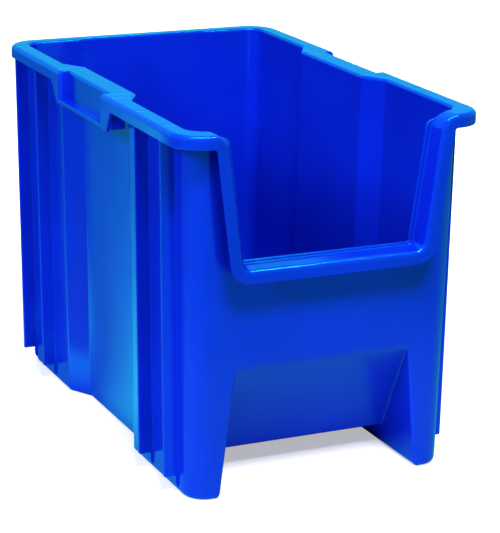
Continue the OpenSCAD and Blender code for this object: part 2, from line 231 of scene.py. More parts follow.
# ---- Plan of the right-hand wall at height z, set in by t ----
def recess_run(z, t):
    x, shift = side_x(z) - t, t * math.tan(math.atan2(RECESS, RECESS_SLOPE) / 2)
    return rounded([
        (x, CUT_RECESS_FRONT, 0),
        (x, RECESS_FRONT - shift, RECESS_OUT_R - t),
        (x - RECESS, RECESS_FRONT + RECESS_SLOPE - shift, RECESS_IN_R + t),
        (x - RECESS, RECESS_REAR - RECESS_SLOPE + shift, RECESS_IN_R + t),
        (x, RECESS_REAR + shift, RECESS_OUT_R - t),
        (x, CUT_RECESS_REAR, 0)], RECESS_ARC)


def front_panel_run(z, t):
    return [(side_x(z) - t, CUT_FRONT), (side_x(z) - t, CUT_RECESS_FRONT)]


def rear_panel_run(z, t):
    return [(side_x(z) - t, CUT_RECESS_REAR), (side_x(z) - t, CUT_REAR)]


def rear_corner_run(z, t):
    x, y = side_x(z), rear_y(z)
    arc = turned(x - REAR_R, y - REAR_R, REAR_R - t, 0, 90)
    return [(x - t, CUT_REAR)] + arc + [(CUT_REAR_X, y - t)]


def rear_run(z, t):
    """Right to left. The inner face steps back a little in a wide middle panel."""
    inner = -PANEL_STEP * min(t / WALL, 1.0)
    places = [(CUT_REAR_X, 0), (PANEL_EDGE + PANEL_SLOPE, 0), (PANEL_EDGE, 1)]
    places += [(-x, step) for x, step in reversed(places)]
    return [(x, rear_y(z) - t - inner * step) for x, step in places]


# ---- Meshes ----
def grid_faces(bm, rows, closed=False):
    """Skins a grid of points, row by row."""
    verts = [[bm.verts.new(Vector(p) * MM) for p in row] for row in rows]
    count = len(rows[0])
    for low, high in zip(verts, verts[1:]):
        for i in range(count if closed else count - 1):
            j = (i + 1) % count
            bm.faces.new((low[i], low[j], high[j], high[i]))
    return verts


def tube(bm, loops):
    """A closed solid through matching closed loops, with flat ends."""
    verts = grid_faces(bm, loops, closed=True)
    bm.faces.new(verts[0][::-1])
    bm.faces.new(verts[-1])


def shell(bm, outer, inner):
    """A closed solid between two matching grids, such as the two faces of a wall."""
    near, away = grid_faces(bm, outer), grid_faces(bm, inner)
    rims = [(near[0], away[0]), (near[-1], away[-1])]
    rims += [([row[k] for row in near], [row[k] for row in away]) for k in (0, -1)]
    for a, b in rims:
        for i in range(len(a) - 1):
            bm.faces.new((a[i], a[i + 1], b[i + 1], b[i]))


# Edges sharper than this stay hard, and points closer than WELD become one
SHARP, WELD = math.radians(35), 0.004 * MM


def make_piece(name, build, nodes, slot, sign=1):
    """One named piece: build(bm) makes the right-hand one, and sign -1 mirrors it."""
    bm = bmesh.new()
    build(bm)
    if sign < 0:
        for vert in bm.verts:
            vert.co.x = -vert.co.x
    bmesh.ops.remove_doubles(bm, verts=bm.verts, dist=WELD)
    bmesh.ops.dissolve_degenerate(bm, edges=bm.edges, dist=WELD)
    bmesh.ops.recalc_face_normals(bm, faces=bm.faces)
    for face in bm.faces:
        face.smooth = True
    for edge in bm.edges:
        edge.smooth = len(edge.link_faces) == 2 and edge.calc_face_angle(0.0) < SHARP
    mesh = bpy.data.meshes.new(name)
    bm.to_mesh(mesh)
    bm.free()
    piece = bpy.data.objects.new(name, mesh)
    bpy.context.scene.collection.objects.link(piece)
    normals = piece.modifiers.new("even_normals", "WEIGHTED_NORMAL")
    normals.mode = "FACE_AREA"
    normals.weight = 100
    normals.keep_sharp = True
    mesh.materials.append(MATERIALS[slot])
    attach(piece, "root")
    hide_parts(*nodes)


# ---- Rim and hopper flange: one profile carried round the top and the mouth ----
def flange_profile(width, bead=0.0, rise=0.0, skirt=SKIRT):
    """Closed loop of (out, up from the flange's top): the wall, the flange to width, and the skirt."""
    top_r = mix(*ROOT_R, min(bead / 2, 1.0))
    tip_r, fillet = [min(r, bead / 2) for r in BEAD_R]
    loop = [(-WALL, -STUB)]
    loop += turned(-WALL + top_r, bead - top_r, top_r, 180, 90)
    loop += turned(-tip_r, bead - tip_r, tip_r, 90, 0, SMALL_ARC)
    loop += turned(fillet, fillet, fillet, 180, 270, SMALL_ARC)
    edge_r = min(EDGE_R, skirt)
    loop += turned(width - edge_r, -edge_r, edge_r, 90, 0)
    if skirt > WALL:
        loop += [(width, BREAK - skirt), (width - BREAK, -skirt)]
        loop += [(width - WALL + BREAK, -skirt), (width - WALL, BREAK - skirt)]
        loop += turned(width - WALL - UNDER_R, -WALL - UNDER_R, UNDER_R, 0, 90, SMALL_ARC)
    else:
        loop += [(width, -WALL)]
    loop += turned(UNDER_R, -WALL - UNDER_R, UNDER_R, 90, 180, SMALL_ARC)
    leaned = [(out, up + rise * min(1 - out / width, 1.0)) for out, up in loop[1:]]
    return loop[:1] + leaned + [(0, -STUB)]


def rim_loop(run, index, reach, skirt=SKIRT):
    """The profile at one point of a wall run; reach is the (x, y) of the rim's outer edge there."""
    root = Vector(run(HEIGHT, 0)[index])
    away = Vector(reach) - root
    loop = []
    for out, up in flange_profile(away.length, skirt=skirt):
        z = HEIGHT + up
        here = run(z, -out)[index] if out <= 0 else root + away.normalized() * out
        loop.append((here[0], here[1], z))
    return loop


def rim_loops(run, reaches, skirt=SKIRT):
    return [rim_loop(run, i, reach, skirt) for i, reach in enumerate(reaches)]


def side_reach(run, x=HALF_W):
    return [(x, p[1]) for p in run(HEIGHT, 0)]


def rolled_reach(run, end, r):
    """Like side_reach, but the outer face rolls in over the last stretch of length r before end."""
    gaps = [max(r - (p[1] - end), 0.0) for p in run(HEIGHT, 0)]
    return [(HALF_W - r + math.sqrt(r * r - gap * gap), p[1]) for gap, p in zip(gaps, run(HEIGHT, 0))]


def with_stops(run, stops):
    """The run with extra points at the given distances from its first point, which lies on a straight."""
    def denser(z, t):
        points = run(z, t)
        return points[:1] + [(points[0][0], points[0][1] + stop) for stop in stops] + points[1:]
    return denser


def corner_reach(arc_points, quarter):
    """Rim corner points, one for each step of the wall's own corner arc; quarter is 1 at the rear."""
    centre_y = CORNER_Y * quarter
    steps = len(arc_points) - 1
    return turned(CORNER_X, centre_y, RIM_R, 0, 90 * quarter, steps)


def straight_run(y_from, y_to):
    """Wall run in the deep part of the recess, at two or more places."""
    def run(z, t):
        return [(side_x(z) - RECESS - t, y) for y in (y_from, y_to)]
    return run


def clip_run(run, y_from, y_to):
    """The stretch of a wall run between two flat cuts; both lie where the run is straight."""
    keep = [i for i, p in enumerate(run(HEIGHT, 0)) if y_from < p[1] < y_to]

    def clipped(z, t):
        points = run(z, t)
        ends = [points[keep[0]][0], points[keep[-1]][0]]
        return [(ends[0], y_from)] + [points[i] for i in keep] + [(ends[1], y_to)]
    return clipped


# Front corner: the wall's corner arc up to where the flange starts to turn down
TURN_END = math.degrees(math.acos((CORNER_X - side_x(HEIGHT) + FRONT_R) / FRONT_R))


def front_corner_run(z, t):
    x, y = side_x(z), front_y(z)
    arc = turned(x - FRONT_R, y + FRONT_R, FRONT_R - t, 0, -TURN_END)
    return [(x - t, CUT_FRONT)] + arc


def mouth_path():
    """Points of the flange surface from the rim's corner down to the lip: (x, z, normal, bead, rise)."""
    path = []
    for i in range(BEND_STEPS + 1):
        share = i / BEND_STEPS
        angle = mix(0, math.pi / 2 - LEAN, share)
        n = Vector((-math.sin(angle), math.cos(angle)))
        bead = BEAD[0] * soft_step(share, BEAD_STARTS, 1.0)
        rise = RISE[0] * soft_step(share, RISE_STARTS, 1.0)
        path.append((CORNER_X + SHOULDER_R * n.x, SHOULDER_Z + SHOULDER_R * n.y, n, bead, rise))
    start_x = CORNER_X - SHOULDER_R * math.cos(LEAN)
    low_z = LIP_Z + MOUTH_R
    high_z = SHOULDER_Z + SHOULDER_R * math.sin(LEAN)
    corner_edge_z = low_z - MOUTH_R * math.sin(LEAN)
    low_edge_x = start_x - (high_z - corner_edge_z) * math.tan(LEAN)
    centre_x = low_edge_x - MOUTH_R * math.cos(LEAN)
    n = Vector((-math.cos(LEAN), math.sin(LEAN)))
    for share in SIDE_STOPS:
        path.append((mix(start_x, low_edge_x, share), mix(high_z, corner_edge_z, share), n, BEAD[0], RISE[0]))
    for i in range(LIP_STEPS + 1):
        share = i / LIP_STEPS
        angle = mix(math.pi / 2 - LEAN, 0, share)
        n = Vector((-math.sin(angle), math.cos(angle)))
        x, z = centre_x - MOUTH_R * n.x, low_z - MOUTH_R * n.y
        path.append((x, z, n, mix(*BEAD, share), mix(*RISE, share)))
    path.append((POST_X, LIP_Z, Vector((0, 1)), BEAD[1], RISE[1]))
    return path


MOUTH = mouth_path()
# The flange is divided half way down the side of the mouth, at the last stop of the side
MOUTH_SPLIT = BEND_STEPS + len(SIDE_STOPS)


def mouth_loop(x_at, z_at, normal, bead, rise):
    """The flange's profile at one stop of the mouth's path."""
    root = front_face_y(x_at, z_at, 0)
    loop = []
    for out, up in flange_profile(root + HALF_D, bead, rise):
        x, z = x_at + normal.x * up, z_at + normal.y * up
        y = front_face_y(x, z, -out) if out <= 0 else root - out
        loop.append((x, y, z))
    return loop


# ---- Walls: a vertical profile of (set in, height) carried along a plan run ----
def wall_profile(top=WALL_TOP):
    """Outer face, rounded base edge, base strip, inner fillet and inner face, as a closed loop."""
    base = [(BASE_R - t, BASE_R - z) for t, z in turned(0, 0, BASE_R, 0, 90, BASE_ARC)]
    fillet = [(STRIP - t, STRIP - z) for t, z in turned(0, 0, STRIP - WALL, 90, 0, SMALL_ARC)]
    return [(0, top)] + base + [(STRIP, 0)] + fillet + [(WALL, top)]


def wall_loops(run):
    grid = [run(z, t) for t, z in wall_profile()]
    heights = [z for _, z in wall_profile()]
    return [[(row[i][0], row[i][1], z) for row, z in zip(grid, heights)] for i in range(len(grid[0]))]


# ---- Front: ramp profile, foot contours and posts ----
def ramp_profile():
    """Points (y, z, normal) down the front, over the soft edge, down the ramp and round into the floor."""
    top = (front_y(APRON_Z), APRON_Z)
    edge = (front_y(NOTCH_TOP), NOTCH_TOP)
    foot = (RAMP_FOOT, FLOOR_Z)
    end = (RAMP_FOOT + RAMP_RUN_OUT, FLOOR_Z)
    corners = [(*top, 0), (*edge, NOTCH_SOFT_R), (*foot, RAMP_BEND_R), (*end, 0)]
    points = rounded(corners, RAMP_ARC)[:-1]
    out = []
    for i, (y, z) in enumerate(points):
        before, after = points[max(i - 1, 0)], points[min(i + 1, len(points) - 1)]
        along = Vector((after[0] - before[0], after[1] - before[1])).normalized()
        out.append((y, z, Vector((-along.y, along.x))))
    y, z, _ = out[-1]
    out[-1] = (y, z, Vector((0, 1)))
    return out


RAMP = ramp_profile()
FLOOR_START = RAMP[-1][0]


def corner_angles():
    """Angles of the columns round the front corner, shared by the posts and the feet."""
    angles = [-TURN_END * i / ARC for i in range(ARC + 1)]
    for x, z, n, _, _ in MOUTH:
        x_stub, z_stub = x - n.x * STUB, z - n.y * STUB
        across = (x_stub - side_x(z_stub) + FRONT_R) / FRONT_R
        if 0 < across < math.cos(math.radians(TURN_END)) - 1e-4:
            angles.append(-math.degrees(math.acos(across)))
    return angles


CORNER_ANGLES = corner_angles() + [-90.0]


def corner_columns(z, t):
    x, y, r = side_x(z) - FRONT_R, front_y(z) + FRONT_R, FRONT_R - t
    return [(x + r * math.cos(math.radians(a)), y + r * math.sin(math.radians(a))) for a in CORNER_ANGLES]


def foot_contour(z, t, ramp_y, floor_row):
    """Plan of the foot from the side, round the corner and the foot's inner edge, to the ramp."""
    points = [(side_x(z) - t, CUT_FRONT)] + corner_columns(z, t)
    face, cheek = front_y(z), notch_x(z)
    depth = max(ramp_y - face, 0.0) if not floor_row else FLOOR_START - face
    sweep = math.acos(max(0.0, 1 - depth / (FOOT_EDGE_R + FOOT_INNER_R)))
    turn = math.degrees(sweep)
    edge_r = max(FOOT_EDGE_R - t, 0.0)
    edge_in = max(FOOT_EDGE_R, t)
    edge = turned(cheek + edge_in * math.sin(sweep), face + edge_in, edge_r, -90, -90 - turn)
    if floor_row:
        return points + edge + [(cheek + t, FLOOR_START)] * (ARC + 2)
    start_x = cheek - FOOT_INNER_R * math.sin(sweep)
    inner = turned(start_x, ramp_y - FOOT_INNER_R, FOOT_INNER_R + t, 90 - turn, 90)
    return points + edge + inner + [(RAMP_X, ramp_y + t)]


def foot_rows():
    """Matching outer and inner contours, from the top of the apron to the underside of the foot."""
    outer, inner = [], []
    for y, z, n in RAMP:
        z_in = z + WALL * n.y
        y_in = y + WALL * n.x - WALL
        outer.append([(px, py, z) for px, py in foot_contour(z, 0, y, False)])
        inner.append([(px, py, z_in) for px, py in foot_contour(z_in, WALL, y_in, False)])
    top_z = FLOOR_Z - SEAM
    profile = wall_profile(top_z)
    # The outside is the top, the points of the base edge and the strip; the inside is made to match it
    outside_count = BASE_ARC + 3
    for t, z in profile[:outside_count]:
        outer.append([(px, py, z) for px, py in foot_contour(z, t, 0, True)])
    inside = [(WALL, top_z + WALL)] + profile[outside_count:-1][::-1]
    inside += [inside[-1]] * (outside_count - len(inside))
    for t, z in inside:
        inner.append([(px, py, z) for px, py in foot_contour(z, t, 0, True)])
    return outer, inner


def post_rows():
    """Matching outer and inner faces of the front corner, from under the flange down to the apron."""
    rows = []
    for t in (0, WALL):
        top = [(side_x(WALL_TOP) - t, CUT_FRONT, WALL_TOP)]
        low = [(side_x(APRON_Z) - t, CUT_FRONT, APRON_Z)]
        for angle in CORNER_ANGLES[:ARC + 1]:
            for row, z in ((top, WALL_TOP), (low, APRON_Z)):
                x, y = side_x(z) - FRONT_R, front_y(z) + FRONT_R
                turn = math.radians(angle)
                row.append((x + (FRONT_R - t) * math.cos(turn), y + (FRONT_R - t) * math.sin(turn), z))
        for x, z, n, _, _ in MOUTH:
            x_stub, z_stub = x - n.x * STUB, z - n.y * STUB
            bend, bend_low = side_x(z_stub) - FRONT_R, side_x(APRON_Z) - FRONT_R
            inward = max(bend - x_stub, 0.0) / (bend - POST_X)
            x_low = mix(bend_low + max(x_stub - bend, 0.0), POST_X, inward)
            top.append((x_stub, front_face_y(x_stub, z_stub, t), z_stub))
            low.append((x_low, front_face_y(x_low, APRON_Z, t), APRON_Z))
        rows.append([top, low])
    return rows


# ---- Small solids: handles, ribs and lugs ----
def rounded_box(bm, low, high, r):
    """A closed box from corner to corner with every edge rounded by r."""
    plan = ((low[0], low[1]), (high[0], low[1]), (high[0], high[1]), (low[0], high[1]))
    verts = [bm.verts.new(Vector((x, y, z)) * MM) for z in (low[2], high[2]) for x, y in plan]
    quads = ((3, 2, 1, 0), (4, 5, 6, 7), (0, 1, 5, 4), (1, 2, 6, 5), (2, 3, 7, 6), (3, 0, 4, 7))
    faces = [bm.faces.new([verts[i] for i in quad]) for quad in quads]
    edges = {edge for face in faces for edge in face.edges}
    bmesh.ops.bevel(bm, geom=list(edges), offset=r * MM, segments=3, profile=0.5, affect="EDGES")


def plate_rows(bm, rows, r_low, r_high):
    """A thin upright plate; rows are (z, y_low, y_high, x_low, x_high), with rounded outer edges."""
    loops = []
    for z, y0, y1, x0, x1 in rows:
        loop = [(x0, y0), (x0, y1)]
        loop += turned(x1 - r_high, y1 - r_high, r_high, 90, 0, PLATE_ARC)
        loop += turned(x1 - r_low, y0 + r_low, r_low, 0, -90, PLATE_ARC)
        loops.append([(x, y, z) for x, y in loop])
    tube(bm, loops)


def handle(bm):
    """Two gussets hang from the skirt and carry the ledge and the back plate of the finger pocket."""
    inner, under = HALF_W - WALL, HEIGHT - WALL
    lap = HEIGHT - SKIRT + EDGE_R
    for top_y, tip_y, pocket, r in GUSSETS:
        toe = (LEDGE_LOW + TOE_UP, mix(top_y, tip_y, TOE_SHARE))
        near_tip = (LEDGE_LOW + TIP_BREAK, tip_y - math.copysign(TIP_BREAK, tip_y))
        stops = [(lap, top_y), toe, near_tip, (LEDGE_LOW, tip_y)]
        rows = [(z, min(y, pocket), max(y, pocket), inner, HALF_W + FLUSH) for z, y in stops]
        plate_rows(bm, rows, r, GUSSET_EDGE_R)
    hidden_z, high_z = LEDGE_LOW + LAP, under - SEAM
    rounded_box(bm, (PANEL_FACE - LEDGE_ROOT, POCKET_FRONT - LEDGE_ROOT, LEDGE_LOW + LEDGE_BACK),
                (HALF_W - LEDGE_BACK, POCKET_REAR + POCKET_R, LEDGE_TOP), r=0.9)
    rounded_box(bm, (PANEL_FACE - PLATE_ROOT, POCKET_FRONT - PLATE_REACH, hidden_z),
                (PANEL_FACE, POCKET_REAR + PLATE_REACH, under), r=0.2)
    for y0 in (POCKET_FRONT - WALL - FLUSH, POCKET_REAR + FLUSH):
        rounded_box(bm, (PANEL_FACE - CHEEK_ROOT, y0, hidden_z), (inner - 1, y0 + WALL, high_z), r=0.15)
    for y0 in STIFFENERS:
        root = wall_x(y0 + WALL / 2, under) - WALL / 2
        rounded_box(bm, (root, y0, LEDGE_LOW + STIFFENER_FOOT), (inner + 0.2, y0 + WALL, high_z), r=0.3)


def rib(bm, place):
    """A stacking rib with a fillet at its root and rounded outer edges, square at the bottom."""
    under, skirt_low = HEIGHT - WALL, HEIGHT - SKIRT
    root_r, edge_r = RIB_ROOT_R, RIB_EDGE_R
    rows = [(RIB_FOOT, RIB_LOW - BREAK), (RIB_FOOT + BREAK, RIB_LOW), (RIB_NECK, RIB_TOP)]
    rows += [(skirt_low, RIB_TOP), (skirt_low + SEAM / 2, HALF_W - WALL), (under, HALF_W - WALL)]
    loops = []
    for z, reach in rows:
        half = []
        for step in range(SMALL_ARC + 1):
            turn = math.radians(90 * step / SMALL_ARC)
            out = RIB_HALF + root_r * (1 - math.sin(turn))
            half.append((root_r * (1 - math.cos(turn)), out))
        edge = turned(reach - edge_r, RIB_HALF - edge_r, edge_r, 90, 0, SMALL_ARC)
        root = half[0][1]
        loop = [(wall_x(place + root, z) - SUNK, place + root)]
        loop += [(wall_x(place + y, z) + x, place + y) for x, y in half]
        loop += [(x, place + y) for x, y in edge]
        loop += [(x, place - y) for x, y in reversed(edge)]
        loop += [(wall_x(place - y, z) + x, place - y) for x, y in reversed(half)]
        loop += [(wall_x(place - root, z) - SUNK, place - root)]
        loops.append([(x, y, z) for x, y in loop])
    tube(bm, loops)


def lugs(bm):
    for place in RIBS:
        low_y, high_y = place - RIB_HALF, place + RIB_HALF
        rows = [(z, low_y, high_y, wall_x(high_y, z) - SUNK, wall_x(place, z) + out) for z, out in LUG]
        plate_rows(bm, rows, LUG_R, LUG_R)


# ---- Materials ----
DEEP_BLUE, CLEAR_BLUE = (0.001, 0.011, 0.45), (0.0015, 0.015, 0.52)
SHEEN_TINT = (0.2, 0.95, 1.0, 1)
# Y of the sink marks that the handle leaves on the rim, beside those of the ribs
HANDLE_SINKS = [-60, -43, 65, 78]
# Rim sink marks: half width and soft foot in metres, and slope in bump heights per metre
SINK_HALF, SINK_SOFT, SINK_SLOPE = 0.003, 0.002, 130.0
# The rim's top face is what lies above this height, in metres
RIM_TOP_FACE = (HEIGHT - 0.4) * MM
# Scales of the noise, higher is finer: colour drift, smears, ripple, grain and scratches
DRIFT, SMEAR, RIPPLE, GRAIN, SCRATCH = 9.0, 26.0, 38.0, 700.0, 420.0
# Roughness that smears and scuffs add
SMEAR_ROUGHNESS, SCUFF_ROUGHNESS = 0.05, 0.3
# Bump height in metres, and the shares of it that ripple and grain take
BUMP_HEIGHT, RIPPLE_SHARE, GRAIN_SHARE = 0.0004, 0.6, 0.02


def noise(nodes, links, coords, scale, detail=2.0, stretch=(1, 1, 1)):
    mapping = nodes.new("ShaderNodeMapping")
    mapping.inputs["Scale"].default_value = stretch
    texture = nodes.new("ShaderNodeTexNoise")
    texture.inputs["Scale"].default_value = scale
    texture.inputs["Detail"].default_value = detail
    links.new(coords, mapping.inputs["Vector"])
    links.new(mapping.outputs["Vector"], texture.inputs["Vector"])
    return texture.outputs["Fac"]


def ramp(nodes, links, value, low, high, at=(0.35, 0.65)):
    """A colour or grey between low and high as value goes across at."""
    node = nodes.new("ShaderNodeValToRGB")
    stops = node.color_ramp.elements
    for stop, position, colour in zip(stops, at, (low, high)):
        stop.position = position
        stop.color = (*colour, 1) if hasattr(colour, "__len__") else (colour, colour, colour, 1)
    links.new(value, node.inputs["Fac"])
    return node.outputs["Color"]


def math_node(nodes, links, kind, *values):
    node = nodes.new("ShaderNodeMath")
    node.operation = kind
    for socket, value in zip(node.inputs, values):
        if isinstance(value, (int, float)):
            socket.default_value = value
        else:
            links.new(value, socket)
    return node.outputs["Value"]


def blue_plastic(name, roughness, sinks=(), scuff_below=0.0):
    """Glossy moulded polypropylene: slow colour drift, faint ripple and grain, sink marks and scuffs."""
    material = bpy.data.materials.new(name)
    material.use_nodes = True
    nodes, links = material.node_tree.nodes, material.node_tree.links
    shader = nodes["Principled BSDF"]
    coords = nodes.new("ShaderNodeTexCoord").outputs["Object"]
    links.new(ramp(nodes, links, noise(nodes, links, coords, DRIFT), DEEP_BLUE, CLEAR_BLUE),
              shader.inputs["Base Color"])
    smear = noise(nodes, links, coords, SMEAR, detail=5.0, stretch=(1, 1, 0.25))
    rough = ramp(nodes, links, smear, roughness, roughness + SMEAR_ROUGHNESS, at=(0.4, 0.75))
    if scuff_below:
        place = nodes.new("ShaderNodeSeparateXYZ")
        links.new(coords, place.inputs["Vector"])
        near_floor = math_node(nodes, links, "LESS_THAN", place.outputs["Z"], scuff_below)
        scratch = noise(nodes, links, coords, SCRATCH, detail=4.0, stretch=(1, 1, 0.12))
        marks = ramp(nodes, links, scratch, 0.0, SCUFF_ROUGHNESS, at=(0.52, 0.7))
        rough = math_node(nodes, links, "MULTIPLY_ADD", marks, near_floor, rough)
    links.new(rough, shader.inputs["Roughness"])
    shader.inputs["IOR"].default_value = 1.5
    shader.inputs["Specular Tint"].default_value = SHEEN_TINT
    height = math_node(nodes, links, "MULTIPLY", noise(nodes, links, coords, RIPPLE), RIPPLE_SHARE)
    grain = noise(nodes, links, coords, GRAIN)
    height = math_node(nodes, links, "MULTIPLY_ADD", grain, GRAIN_SHARE, height)
    if sinks:
        place = nodes.new("ShaderNodeSeparateXYZ")
        links.new(coords, place.inputs["Vector"])
        on_top = math_node(nodes, links, "GREATER_THAN", place.outputs["Z"], RIM_TOP_FACE)
        depth = math_node(nodes, links, "MULTIPLY", on_top, -SINK_SLOPE)
        for y in sinks:
            off = math_node(nodes, links, "SUBTRACT", place.outputs["Y"], y * MM)
            off = math_node(nodes, links, "ABSOLUTE", off)
            dip = math_node(nodes, links, "SUBTRACT", SINK_HALF, off)
            dip = math_node(nodes, links, "SMOOTH_MAX", dip, 0.0, SINK_SOFT)
            height = math_node(nodes, links, "MULTIPLY_ADD", dip, depth, height)
    bump = nodes.new("ShaderNodeBump")
    bump.inputs["Strength"].default_value = 1.0
    bump.inputs["Distance"].default_value = BUMP_HEIGHT
    links.new(height, bump.inputs["Height"])
    links.new(bump.outputs["Normal"], shader.inputs["Normal"])
    return material


MATERIALS = {
    "wall_plastic": blue_plastic("wall_plastic", roughness=0.16),
    "rim_plastic": blue_plastic("rim_plastic", roughness=0.13, sinks=RIBS + HANDLE_SINKS),
    "base_plastic": blue_plastic("base_plastic", roughness=0.18, scuff_below=0.004),
    "rib_plastic": blue_plastic("rib_plastic", roughness=0.15),
}


# ---- The pieces ----
SIDES = (("left", -1), ("right", 1))


def wall_piece(run):
    return lambda bm: tube(bm, wall_loops(run))


def rear_rim(bm):
    reaches = [(p[0], HALF_D) for p in rear_run(HEIGHT, 0)]
    tube(bm, rim_loops(rear_run, reaches))


def rear_rim_corner(bm):
    points = rear_corner_run(HEIGHT, 0)
    reaches = [(HALF_W, CUT_REAR)] + corner_reach(points[1:-1], 1) + [(CUT_REAR_X, HALF_D)]
    tube(bm, rim_loops(rear_corner_run, reaches))


def side_rim(bm):
    front = clip_run(recess_run, CUT_RECESS_FRONT, POCKET_FRONT)
    rear = clip_run(recess_run, POCKET_REAR, CUT_RECESS_REAR)
    for run in (front_panel_run, front, rear_panel_run):
        tube(bm, rim_loops(run, side_reach(run)))
    turns = [math.radians(90 * i / PLATE_ARC) for i in range(1, PLATE_ARC + 1)]
    rear = with_stops(rear, [POCKET_R * (1 - math.cos(turn)) for turn in turns])
    tube(bm, rim_loops(rear, rolled_reach(rear, POCKET_REAR, POCKET_R)))
    middle = straight_run(POCKET_FRONT, POCKET_REAR)
    tube(bm, rim_loops(middle, side_reach(middle, PANEL_FACE), WALL))


def front_rim_corner(bm):
    """From the side, round the corner and over the shoulder, half way down the side of the mouth."""
    points = front_corner_run(HEIGHT, 0)
    reaches = [(HALF_W, CUT_FRONT)] + corner_reach(points[1:], -1)
    loops = rim_loops(front_corner_run, reaches)
    tube(bm, loops + [mouth_loop(*stop) for stop in MOUTH[1:MOUTH_SPLIT + 1]])


def hopper_flange(bm):
    tube(bm, [mouth_loop(*stop) for stop in MOUTH[MOUTH_SPLIT:]])


def front_lip(bm):
    right = mouth_loop(*MOUTH[-1])
    tube(bm, [right, [(-x, y, z) for x, y, z in right]])


def front_foot(bm):
    shell(bm, *foot_rows())


def front_post(bm):
    shell(bm, *post_rows())


def front_wall(bm):
    top_z = MOUTH[-1][1] - STUB
    edges = (POST_X, -POST_X)
    shell(bm, *[[[(x, front_y(z) + t, z) for x in edges] for z in (top_z, APRON_Z)] for t in (0, WALL)])


def hopper_ramp(bm):
    rows = []
    for t in (0, WALL):
        rows.append([[(x, y + t * n.x, z + t * n.y) for x in (RAMP_X, -RAMP_X)] for y, z, n in RAMP])
    shell(bm, *rows)


def floor_panel(bm):
    ends = (FLOOR_START, rear_y(FLOOR_Z) - WALL + LAP)
    rows = [[[(x, y, FLOOR_Z + t) for x in (RAMP_X, -RAMP_X)] for y in ends] for t in (0, WALL)]
    shell(bm, *rows)


def runner_cheek(bm):
    """From the middle of the floor, round down the cheek to the base strip, at both ends of the rail."""
    loops = []
    for front in (True, False):
        loop = []
        top, r = FLOOR_Z + WALL, FOOT_INNER_R
        outline = [(RAMP_X, FLOOR_Z)]
        outline += turned(notch_x(FLOOR_Z - r) - r, FLOOR_Z - r, r, 90, 0, SMALL_ARC)
        base = notch_x(0)
        outline += turned(base + FOOT_EDGE_R, FOOT_EDGE_R, FOOT_EDGE_R, 180, 270, BASE_ARC)
        outline += [(base + STRIP, 0), (base + STRIP, WALL)]
        outline += turned(base + STRIP, STRIP, STRIP - WALL, 270, 180, SMALL_ARC)
        soft = CHEEK_TOP_R
        outline += turned(notch_x(top) + WALL - soft, top - soft, soft, 0, 90, SMALL_ARC)
        outline += [(RAMP_X, top)]
        for x, z in outline:
            rear = rear_y(z) - (STRIP if z <= WALL else WALL - LAP)
            loop.append((x, FLOOR_START if front else rear, z))
        loops.append(loop)
    tube(bm, loops)


def runner(bm):
    """The base strip inside the foot of the wall, flat on both faces."""
    foot = foot_contour(0, STRIP, 0, True)
    outline = foot + [(notch_x(0) + STRIP, rear_y(0) - STRIP), (CUT_REAR_X, rear_y(0) - STRIP)]
    for run in (rear_corner_run, rear_panel_run, recess_run, front_panel_run):
        points = run(0, STRIP)
        outline += points if points[0][1] > points[-1][1] else points[::-1]
    kept, least_gap = [outline[0]], 0.01
    for point in outline[1:]:
        if math.dist(point, kept[-1]) > least_gap and math.dist(point, kept[0]) > least_gap:
            kept.append(point)
    tube(bm, [[(x, y, z) for x, y in kept] for z in (0, WALL)])


make_piece("rear_wall", wall_piece(rear_run), ["rear_wall"], "wall_plastic")
make_piece("rear_rim", rear_rim, ["rear_rim"], "rim_plastic")
make_piece("front_lip", front_lip, ["front_lip"], "rim_plastic")
make_piece("front_wall", front_wall, ["front_wall"], "wall_plastic")
make_piece("hopper_ramp", hopper_ramp, ["hopper_ramp"], "base_plastic")
make_piece("floor_panel", floor_panel, ["floor_panel"], "base_plastic")
for side, sign in SIDES:
    walls = {
        "front_panel": (front_panel_run, ["front_panel"]),
        "recess_panel": (recess_run, ["recess_front_slope", "recess_panel", "recess_rear_slope"]),
        "rear_panel": (rear_panel_run, ["rear_panel"]),
        "rear_corner": (rear_corner_run, ["rear_corner"]),
    }
    for name, (run, nodes) in walls.items():
        make_piece(f"{side}_{name}", wall_piece(run), [f"{side}_{n}" for n in nodes], "wall_plastic", sign)
    others = {
        "front_post": (front_post, ["front_post", "front_corner"], "wall_plastic"),
        "front_foot": (front_foot, ["front_foot"], "base_plastic"),
        "runner_cheek": (runner_cheek, ["runner_cheek"], "base_plastic"),
        "runner": (runner, ["runner"], "base_plastic"),
        "rim": (side_rim, ["rim"], "rim_plastic"),
        "rear_rim_corner": (rear_rim_corner, ["rear_rim_corner"], "rim_plastic"),
        "front_rim_corner": (front_rim_corner, ["front_rim_corner"], "rim_plastic"),
        "hopper_flange": (hopper_flange, ["hopper_flange"], "rim_plastic"),
        "handle": (handle, ["handle"], "rib_plastic"),
        "base_lugs": (lugs, ["base_lugs"], "rib_plastic"),
    }
    for name, (build, nodes, slot) in others.items():
        make_piece(f"{side}_{name}", build, [f"{side}_{n}" for n in nodes], slot, sign)
    for number, place in enumerate(RIBS, 1):
        name = f"{side}_rib_{number}"
        make_piece(name, lambda bm, place=place: rib(bm, place), [name], "rib_plastic", sign)


# ---- Stage, lights and camera ----
WHITE = (1, 1, 1, 1)
COOL = (0.05, 1.0, 0.86, 1)
DIFFUSE_LIGHT, MIRRORED_LIGHT = 0.04, 1.0
# Floor tone, then the floor's glow in the gloss and the glow of its painted reflection strip
FLOOR_TONE, FLOOR_MIRRORED, CARD_MIRRORED = 0.7, 0.7, 2.2
# Painted reflection: where the plastic mirrors the floor, the floor glows in a bright strip that runs back
# and to the right, between a soft left and right edge
STRIP_SKEW, STRIP_LEFT, STRIP_RIGHT = 0.46, (-0.19, -0.155), (-0.14, -0.08)
# The painted reflection strip fades in, and the rest of the floor's glow in the gloss fades to half, over
# this stretch of Y
STRIP_FRONT = (-0.1, 0.05)
